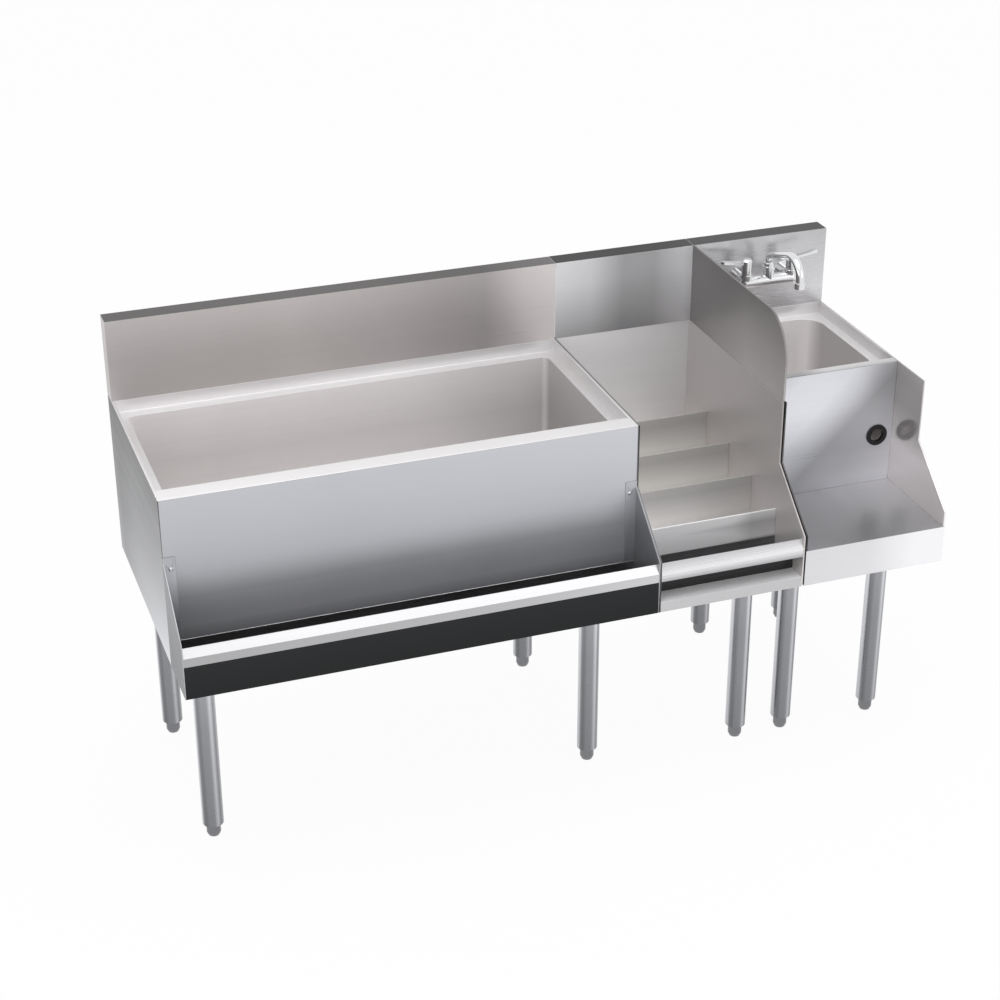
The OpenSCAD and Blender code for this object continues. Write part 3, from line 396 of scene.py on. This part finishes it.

# Painted shade: the front is painted darkest at the bottom, where it would mirror the rail's dark trough,
# and a little lighter towards the east.
bin_front_steel = sheet_steel("bin_front_steel", along_row, cool, 0.44, [
    (by_place, top, [(base, 114), (0.50, 180), (0.56, 163), (0.61, 175), (0.66, 174), (deck, 178)]),
    (by_place, east, [(bin_left, 222), (-0.3, 227), (0.05, 231), (bin_right, 234)]),
], metal=0.6)
finish_nodes(bin_front_steel, "bin_front_panel")
# Painted light and shade: the left side is painted light at the bottom front and dark at the top and
# towards the back.
bin_left_steel = sheet_steel("bin_left_steel", along_depth, cool, 0.34, [
    (by_place, top, [(base, 209), (0.58, 156), (deck, 86)]),
    (by_place, north, [(cabinet_front, 217), (0.1, 171), (0.25, 135), (back, 154)]),
])
finish_nodes(bin_left_steel, "bin_left_side")
# Painted shade: the hidden sheets are painted darker towards the bottom.
bin_hidden_steel = sheet_steel("bin_hidden_steel", along_row, cool, 0.38, [
    (by_place, top, [(base, 150), (deck, 175)]),
])
finish_nodes(bin_hidden_steel, "bin_right_side", "bin_back_panel", "bin_bottom_panel")
fold("bin_left_side")

# ---------------------------------------------------------------------------
# The foam between the bin's shell and liner: a yellowish rigid foam, poured in and
# set in place. It shows only where the bin is taken apart.
foam_colour = (0.62, 0.52, 0.28)
foam_roughness = 0.85
foam_cells = 220.0
moulded_amount = 0.5


def moulded(name, colour, roughness, repeats):
    """A dull moulded material, cloudy in tone and gloss all over."""
    material, tree, shader = new_material(name)
    marks = place_group(tree, wipe_group, Scale=repeats, Amount=moulded_amount)
    tree.links.new(scaled(tree, colour, marks.outputs["Tone"]), shader.inputs["Base Color"])
    rough = math_node(tree, "ADD", marks.outputs["Roughness"], roughness)
    tree.links.new(rough, shader.inputs["Roughness"])
    return material


finish_nodes(moulded("bin_foam", foam_colour, foam_roughness, foam_cells), "bin_insulation")

# ---------------------------------------------------------------------------
# The liner: a welded steel box with round corners and coved floor edges, its walls
# painted warm with the reflected room and painted darker on the walls that face west
# and towards the east, and the chrome-plated drain clamped through its floor.
inner = (1.018, 0.984, 0.976)
liner_left, liner_right = reach("bin_liner", east)
liner_top = reach("bin_liner", top)[1]
liner_steel = sheet_steel("bin_liner_steel", along_row, inner, 0.36, [
    (by_facing, east, [(-1.0, 165), (-0.4, 201)]),
    (by_place, top, [(0.55, 221), (0.63, 212), (liner_top, 231)]),
    (by_place, east, [(liner_left, 208), (-0.45, 208), (-0.1, 206), (liner_right, 195)]),
], metal=0.35)
finish_nodes(liner_steel, "bin_liner")

plate_tint = (0.99, 1.0, 1.01)
tap_top = reach("tap_spout", top)[1]
# Painted light: the chrome is painted a little lighter towards the top.
chrome = sheet_steel("bright_chrome", along_height, plate_tint, 0.10, [
    (by_place, top, [(0.3, 222), (tap_top, 226)]),
], streak=0.0, wipe=0.05)
finish_nodes(chrome, "bin_drain")

# ---------------------------------------------------------------------------
# The bin's top rim, folded from one sheet: flats, upstands down to the ledge that a
# cover rests on, and the opening that the liner is welded to.
pale = (1.010, 0.990, 0.994)
splash_front = reach("bin_backsplash", north)[0]
# Painted light and shade: flats and upstands get their own painted levels, and the rim is painted darker
# towards the east.
rim_steel = sheet_steel("bin_rim_steel", along_row, pale, 0.36, [
    (by_facing, top, [(0.0, 228), (0.9, 225)]),
    (by_place, east, [(bin_left, 205), (-0.3, 202), (bin_right, 194)]),
    (by_place, north, [(cabinet_front, 207), (-0.1, 201), (splash_front, 203)]),
], metal=0.6)
finish_nodes(rim_steel, "bin_top_rim")
fold("bin_top_rim")

# ---------------------------------------------------------------------------
# The backsplash, one folded length on each module: front sheet, top return and a lip
# at the back, with a cap at each end of the row.
warm = (1.036, 0.980, 0.962)
neutral = (0.998, 0.990, 1.010)
splash_gloss = 0.1
splash_top = reach("bin_backsplash", top)[1]
bottle_left, bottle_right = reach("bottle_back_panel", east)
sink_left, sink_right = reach("sink_backsplash", east)
# Painted reflections: each top return is painted nearly black, as the reflection of a dark ceiling, and
# the fronts carry painted highlights and shade along the row and up the sheet.
bin_splash_steel = sheet_steel("bin_splash_steel", along_row, warm, 0.33, [
    (by_facing, top, [(0.5, 209), (0.9, 96)]),
    (by_place, top, [(deck, 194), (0.80, 189), (0.84, 189), (splash_top, 197)]),
    (by_place, east, [(bin_left, 185), (-0.4, 196), (-0.2, 186), (0.0, 172), (0.08, 202),
                      (bin_right, 215)]),
], metal=0.5, gloss=splash_gloss)
finish_nodes(bin_splash_steel, "bin_backsplash")
bottle_splash_steel = sheet_steel("bottle_splash_steel", along_row, neutral, 0.33, [
    (by_facing, top, [(0.5, 255), (0.9, 47)]),
    (by_place, east, [(bottle_left, 190), (0.23, 184), (0.30, 154), (0.37, 163), (0.44, 213)]),
    (by_place, top, [(deck, 146), (0.80, 161), (0.88, 186), (splash_top, 188)]),
], metal=0.5, gloss=splash_gloss)
finish_nodes(bottle_splash_steel, "bottle_backsplash")
sink_splash_steel = sheet_steel("sink_splash_steel", along_row, neutral, 0.26, [
    (by_facing, top, [(0.5, 235), (0.9, 60)]),
    (by_place, east, [(sink_left, 198), (0.60, 200), (0.68, 195), (sink_right, 188)]),
    (by_place, top, [(deck, 180), (0.80, 196), (splash_top, 172)]),
], metal=0.6, streak=0.03, gloss=splash_gloss)
finish_nodes(sink_splash_steel, "sink_backsplash")
fold("bin_backsplash", "bottle_backsplash", "sink_backsplash")

# ---------------------------------------------------------------------------
# The speed rail on the bin's front: a folded trough whose nose leans back, a dark
# strip under the nose, and two end plates screwed to the bin by a tab each.
strip_tint = (0.97, 1.0, 1.03)
strip_top = reach("rail_face_strip", top)[1]
rail_end_top = reach("rail_left_end", top)[1]
# Painted light and shade: the nose's leaning face carries a painted highlight, faces turned to the back
# and the floor and underside are painted darker as shade, and the trough is painted lighter towards the
# east.
trough_steel = sheet_steel("rail_trough_steel", along_row, neutral, 0.30, [
    (by_facing, north, [(-1.0, 196), (-0.97, 195), (-0.93, 254), (-0.7, 255), (-0.5, 150), (1.0, 90)]),
    (by_facing, top, [(-1.0, 150), (0.3, 203), (0.6, 202), (0.9, 150)]),
    (by_place, east, [(bin_left, 188), (-0.1, 203), (bin_right, 222)]),
])
finish_nodes(trough_steel, "rail_trough")
# Painted light: the end plates' front edges are painted bright as a highlight, and their sides painted
# darker towards the bottom.
left_end_steel = sheet_steel("rail_left_end_steel", along_depth, cool, 0.38, [
    (by_facing, north, [(-1.0, 255), (-0.5, 204), (0.0, 159)]),
    (by_place, top, [(base, 142), (0.50, 151), (0.56, 168), (0.60, 162), (rail_end_top, 144)]),
], metal=0.6)
finish_nodes(left_end_steel, "rail_left_end")
right_end_steel = sheet_steel("rail_right_end_steel", along_depth, cool, 0.38, [
    (by_facing, north, [(-1.0, 240), (-0.5, 204), (0.0, 188)]),
    (by_place, top, [(base, 113), (0.50, 156), (0.56, 157), (0.60, 165), (rail_end_top, 158)]),
], metal=0.6)
finish_nodes(right_end_steel, "rail_right_end")
strip_finish = sheet_steel("rail_strip_finish", along_row, strip_tint, 0.42, [
    (by_place, top, [(base, 48), (strip_top, 53)]),
])
finish_nodes(strip_finish, "rail_face_strip")
# Painted shade: the screws are painted a little darker towards the bottom.
screw_steel = sheet_steel("screw_steel", along_height, cool, 0.25, [
    (by_place, top, [(base, 190), (splash_top, 200)]),
])
finish_nodes(screw_steel, "rail_screws")
fold("rail_trough", "rail_left_end", "rail_right_end")

# ---------------------------------------------------------------------------
# The bottle module's cabinet: side plates with the same sloping front and a back
# painted paler with light, folded from steel and tied to both neighbours by screws
# through the sides.
row_front = reach("bottle_right_side", north)[0]
# Painted light and shade: the right plate is painted light at the bottom and towards the back.
bottle_right_steel = sheet_steel("bottle_side_steel", along_depth, warm, 0.34, [
    (by_place, top, [(base, 241), (0.60, 185), (deck, 172)]),
    (by_place, north, [(row_front, 187), (-0.1, 194), (splash_front, 223)]),
], metal=0.4)
finish_nodes(bottle_right_steel, "bottle_right_side")
# Painted light and shade: the left plate is painted dark on faces turned to the front and bright on faces
# turned sideways, brightest at mid height.
bottle_left_steel = sheet_steel("bottle_left_steel", along_depth, neutral, 0.34, [
    (by_facing, north, [(-1.0, 79), (-0.4, 120), (0.0, 255)]),
    (by_place, top, [(base, 139), (0.60, 248), (deck, 104)]),
], metal=0.4)
finish_nodes(bottle_left_steel, "bottle_left_side")
# Painted light: the back is painted lighter towards the west and the bottom.
bottle_back_steel = sheet_steel("bottle_back_steel", along_row, pale, 0.34, [
    (by_place, east, [(bottle_left, 238), (0.3, 228), (bottle_right, 206)]),
    (by_place, top, [(0.58, 222), (deck, 203)]),
], metal=0.3)
finish_nodes(bottle_back_steel, "bottle_back_panel")
finish_nodes(screw_steel, "module_screws")
fold("bottle_left_side", "bottle_right_side")

# ---------------------------------------------------------------------------
# Four trays that step down to the front, each folded from one sheet with a low lip,
# dulled by the bottles that stand in them.
tray_tint = (1.018, 0.992, 0.962)
tray_rise = reach("bottle_tray_1", top)[1] - reach("bottle_tray_2", top)[1]
tray_run = reach("bottle_tray_1", north)[1] - reach("bottle_tray_2", north)[1]
square_to_steps = (0, -tray_rise / tray_run, 1)
front_tray_top = reach("bottle_tray_4", top)[1]
# Painted light: the trays are painted lighter towards the west, with a painted highlight on the lower
# steps and darker higher up.
tray_steel = sheet_steel("tray_steel", along_row, tray_tint, 0.40, [
    (by_place, east, [(bottle_left, 235), (0.25, 215), (bottle_right, 195)]),
    (by_place, north, [(-0.07, 192), (0.04, 197), (0.16, 195)]),
    (by_place, square_to_steps, [(0.50, 233), (0.55, 185), (0.568, 186)]),
], metal=0.15)
finish_nodes(tray_steel, "bottle_tray_1", "bottle_tray_2", "bottle_tray_3")
# Painted light: the front tray is painted bright towards the west, with painted highlight bands low on its
# front wall and along its top.
front_tray_steel = sheet_steel("front_tray_steel", along_row, pale, 0.36, [
    (by_place, east, [(bottle_left, 255), (0.36, 215), (0.40, 182), (bottle_right, 185)]),
    (by_place, top, [(0.474, 204), (0.48, 253), (0.51, 206), (front_tray_top, 255)]),
], metal=0.05)
finish_nodes(front_tray_steel, "bottle_tray_4")
fold("bottle_tray_1", "bottle_tray_2", "bottle_tray_3", "bottle_tray_4")

# ---------------------------------------------------------------------------
# The bottle module's short rail, a folded trough with the long rail's nose, and the
# narrow shelf in the slot under the nose.
nose_top = reach("bottle_rail", top)[1]
# Painted shade: the slot's back wall is painted near black, as the shade under the nose, with a painted
# highlight on the front edge and bands of painted light and shade up the nose.
bottle_rail_steel = sheet_steel("bottle_rail_steel", along_row, neutral, 0.30, [
    (by_facing, north, [(-1.0, 173), (-0.7, 156), (-0.5, 170), (1.0, 110)]),
    (by_place, north, [(row_front, 255), (-0.27, 116), (-0.262, 56), (-0.255, 150), (cabinet_front, 167)]),
    (by_place, top, [(0.43, 222), (0.49, 161), (0.505, 217), (nose_top, 204)]),
], metal=0.6)
finish_nodes(bottle_rail_steel, "bottle_rail")
# Painted light: the shelf is painted brightest at the back of the slot, where the nose's shade would fall,
# and on its leaning faces.
bottle_shelf_steel = sheet_steel("bottle_shelf_steel", along_row, pale, 0.32, [
    (by_facing, north, [(-1.0, 173), (-0.5, 255)]),
    (by_place, north, [(row_front, 229), (-0.295, 203), (-0.26, 255)]),
], metal=0.0)
finish_nodes(bottle_shelf_steel, "bottle_rail_shelf")
fold("bottle_rail", "bottle_rail_shelf")

# ---------------------------------------------------------------------------
# The divider splash: a plate with a round top corner whose tongue drops between the
# side plates of the bottle and sink modules.
# Painted shade: the divider is painted darker towards the back and the top.
divider_steel = sheet_steel("divider_steel", along_depth, warm, 0.32, [
    (by_place, north, [(cabinet_front, 171), (0.0, 178), (splash_front, 129)]),
    (by_place, top, [(deck, 205), (splash_top, 142)]),
], metal=0.5)
finish_nodes(divider_steel, "divider_splash")
fold("divider_splash")

# ---------------------------------------------------------------------------
# The sink's cabinet: a front panel between two side plates with a sloping front. The
# front panel is painted with reflections of the shelf below it and the right plate
# beside it, in diagonal bands.
down_right = (1, 0, -1)
sink_front_steel = sheet_steel("sink_front_steel", along_row, cool, 0.33, [
    (by_place, down_right, [(-0.30, 216), (-0.20, 239), (-0.14, 237), (-0.09, 233), (-0.04, 213),
                            (0.02, 175), (0.1, 193), (0.26, 242)]),
    (by_place, top, [(0.444, 191), (0.52, 213), (0.60, 206), (0.68, 206), (deck, 191)]),
], metal=0.6)
finish_nodes(sink_front_steel, "sink_front_panel")
# Painted light and shade: the right plate is painted with a light band low down and darker towards the top
# and the back.
sink_right_steel = sheet_steel("sink_right_steel", along_depth, warm, 0.14, [
    (by_place, top, [(base, 212), (0.55, 225), (0.59, 234), (0.62, 210), (0.68, 175), (deck, 177)]),
    (by_place, north, [(row_front, 216), (-0.2, 216), (-0.1, 213), (0.0, 202), (splash_front, 190)]),
], metal=0.7)
finish_nodes(sink_right_steel, "sink_right_side")
# Painted light and shade: the left plate is painted light at the bottom and towards the back, and dark at
# the top and the front.
sink_left_steel = sheet_steel("sink_left_steel", along_depth, warm, 0.33, [
    (by_place, top, [(base, 231), (deck, 70)]),
    (by_place, north, [(row_front, 61), (splash_front, 255)]),
], metal=0.5)
finish_nodes(sink_left_steel, "sink_left_side")
fold("sink_front_panel", "sink_left_side", "sink_right_side")

# ---------------------------------------------------------------------------
# The sink's top, folded with a sunken ledge as the bin's is, and the deep bowl with
# round corners that is welded into it. The bowl is brushed from top to bottom.
sink_front_y = reach("sink_top", north)[0]
bowl_right = reach("sink_bowl", east)[1]
bowl_top = reach("sink_bowl", top)[1]
# Painted light and shade: the top's flats are painted lighter than its upstands, and the top is darker
# towards the west and the front.
sink_top_steel = sheet_steel("sink_top_steel", along_row, pale, 0.34, [
    (by_facing, top, [(0.0, 212), (0.9, 240)]),
    (by_place, east, [(sink_left, 170), (0.55, 172), (0.6, 211), (sink_right, 194)]),
    (by_place, north, [(sink_front_y, 151), (-0.05, 180), (0.0, 211), (splash_front, 216)]),
], metal=0.5)
finish_nodes(sink_top_steel, "sink_top")
# Painted reflections: the bowl is painted with a bright vertical highlight band and darker at its east
# end.
bowl_steel = sheet_steel("sink_bowl_steel", along_height, inner, 0.34, [
    (by_place, top, [(0.60, 255), (bowl_top, 255)]),
    (by_place, east, [(0.53, 215), (0.60, 225), (0.63, 215), (0.65, 205), (0.67, 198), (0.69, 255),
                      (0.71, 213), (bowl_right, 143)]),
], metal=0.2)
finish_nodes(bowl_steel, "sink_bowl")
fold("sink_top")

# ---------------------------------------------------------------------------
# The blender shelf: one sheet folded into a shelf and the apron in front of it,
# polished a little glossier than the cabinet. Its apron is painted bright as a
# highlight, and the shelf painted lighter towards the east and the back.
shelf_steel = sheet_steel("blender_shelf_steel", along_row, neutral, 0.22, [
    (by_facing, north, [(-1.0, 255), (-0.6, 169)]),
    (by_place, east, [(sink_left, 188), (0.6, 190), (sink_right, 222)]),
    (by_place, north, [(row_front, 186), (-0.26, 188), (sink_front_y, 222)]),
], metal=0.5)
finish_nodes(shelf_steel, "blender_shelf")
fold("blender_shelf")

# ---------------------------------------------------------------------------
# Black rubber: the grommet pressed into the front panel's hole for a cord, and the
# flat ring that seals the drain against the bowl.
rubber_colour = (0.0025, 0.0025, 0.003)
rubber_roughness = 0.62
rubber_specks = 120.0
rubber = moulded("grommet_rubber", rubber_colour, rubber_roughness, rubber_specks)
finish_nodes(rubber, "cord_grommet", "drain_gasket")

# ---------------------------------------------------------------------------
# The sink's waste: a flanged cup, its locknut and tailpiece and a strainer that lifts
# out, turned and pressed from brass and chrome-plated.
finish_nodes(chrome, "drain_flange", "drain_strainer", "drain_locknut", "drain_tailpiece")

# ---------------------------------------------------------------------------
# The tap: a cast bar on two shanks, with valves, lever handles and a bent spout that
# turns in its nut, all of brass, polished and chrome-plated.
finish_nodes(chrome, "tap_body", "tap_valves", "tap_locknuts", "hot_handle", "cold_handle",
             "tap_spout", "spout_nut", "tap_aerator")

# ---------------------------------------------------------------------------
# What the station stands on: channels and flanged sockets under the cabinets, drawn
# steel tubes, and cast bullet feet that screw in and out to level it.
socket_base = reach("leg_sockets", top)[0]
tube_base = reach("leg_tubes", top)[0]
# Level and a little south of east: across the legs, along which stripes of reflected studio light are
# painted.
across_legs = (0.943, -0.332, 0)
# Painted shade: the channels and sockets are painted a little darker towards the top.
socket_steel = sheet_steel("socket_steel", along_height, cool, 0.32, [
    (by_place, top, [(socket_base, 165), (0.45, 150)]),
])
finish_nodes(socket_steel, "base_channels", "leg_sockets")
# Painted reflections: the tubes are painted in stripes of reflected studio light around them, and darker
# towards the bottom.
leg_steel = sheet_steel("leg_steel", along_height, cool, 0.26, [
    (by_place, top, [(tube_base, 147), (0.25, 165), (socket_base, 186)]),
    (by_facing, across_legs, [(-0.97, 255), (-0.85, 255), (-0.7, 170), (-0.5, 151), (-0.2, 177),
                              (0.1, 179), (0.35, 184), (0.62, 250), (0.85, 173), (0.97, 206)]),
], metal=0.8, streak=0.03)
finish_nodes(leg_steel, "leg_tubes")
foot_steel = sheet_steel("foot_steel", along_height, cool, 0.30, [
    (by_place, top, [(0.0, 127), (tube_base, 127)]),
], streak=0.03)
finish_nodes(foot_steel, *[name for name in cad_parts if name.startswith("foot_")])
